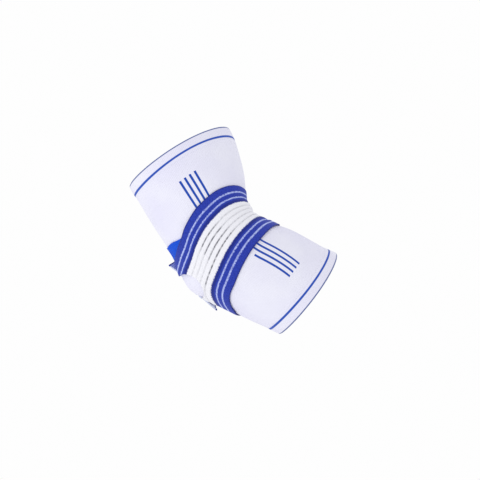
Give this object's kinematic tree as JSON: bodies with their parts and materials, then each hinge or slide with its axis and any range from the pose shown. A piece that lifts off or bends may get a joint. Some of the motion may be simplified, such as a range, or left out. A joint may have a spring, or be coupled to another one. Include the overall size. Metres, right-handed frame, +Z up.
{
  "type": "elbow brace",
  "caption": "Knitted elastic tube for a bent elbow, hemmed at both ends, with a ribbed elastic strap wrapped round the joint and closed on a hook tab.",
  "frame": {"origin": "the elbow's centre, where the centre lines of the upper arm and the forearm meet inside the tube", "axes": "+Z up the upper arm's centre line, +X to the inside of the elbow, towards which the forearm bends, -Y the side of the strap's first end"},
  "size_m": [0.1392, 0.1016, 0.1837],
  "materials": {
    "knit": "fine elastic rib knit, white with a lavender cast, blue knitted stripes",
    "hem_knit": "the same knit turned double and stitched, with a blue knitted line",
    "hook_tape": "bright blue brushed hook and loop tape",
    "webbing": "woven elastic webbing, blue borders with white lines, white ribbed middle"
  },
  "bodies": {
    "root": {"sleeve": "knit", "upper_hem": "hem_knit", "forearm_hem": "hem_knit", "hook_tab": "hook_tape", "strap": "webbing"}
  },
  "joints": []
}
